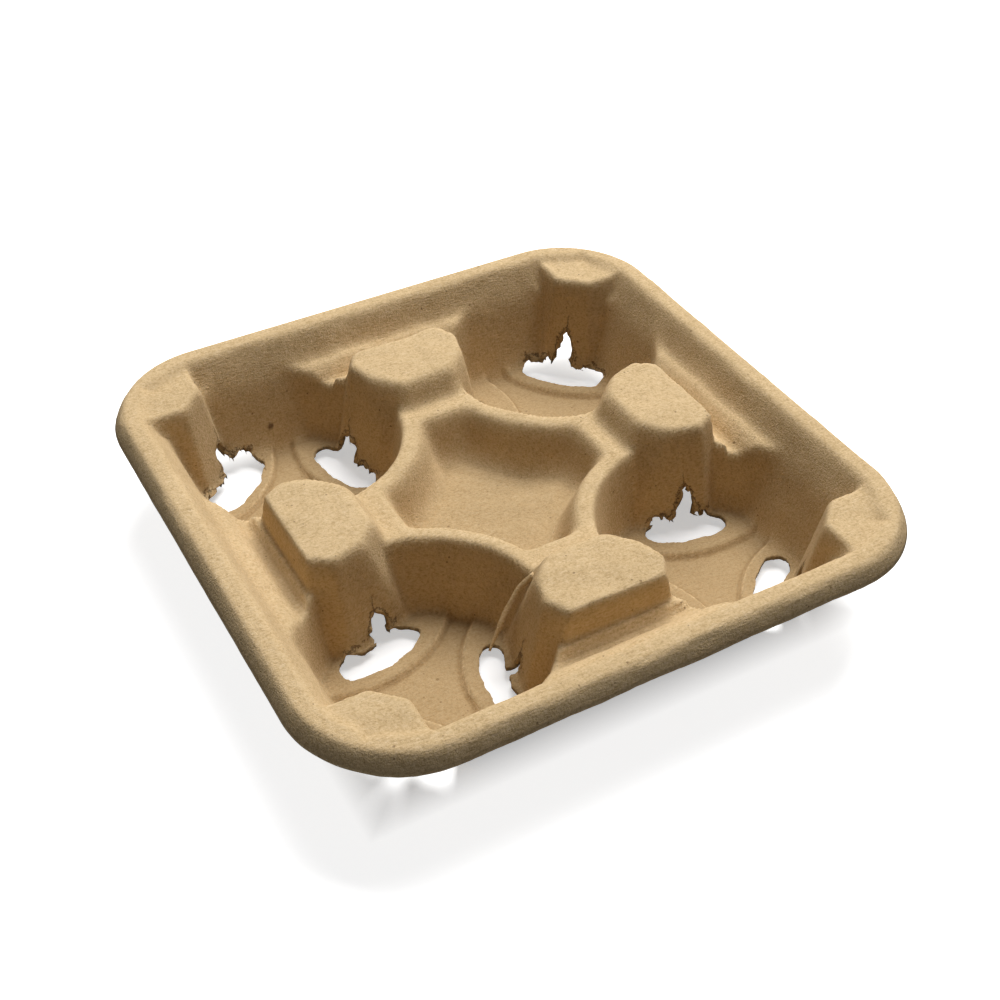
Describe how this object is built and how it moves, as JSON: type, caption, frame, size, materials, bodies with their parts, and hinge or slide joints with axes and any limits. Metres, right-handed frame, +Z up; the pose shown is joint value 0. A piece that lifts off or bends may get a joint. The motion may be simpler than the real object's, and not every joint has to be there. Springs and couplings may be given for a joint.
{
  "type": "moulded pulp cup carrier",
  "caption": "Square moulded-pulp carrier tray with cup wells, slotted gripping ribs, side pillars and a middle pocket, inside a rolled rim.",
  "frame": {"origin": "on the table, under the middle of the tray", "axes": "+Z up out of the wells; +X and +Y square to the sides"},
  "size_m": [0.215, 0.215, 0.0424],
  "materials": {
    "pulp": "matte unbleached fibre"
  },
  "bodies": {
    "root": {"carrier": "pulp"}
  },
  "joints": []
}
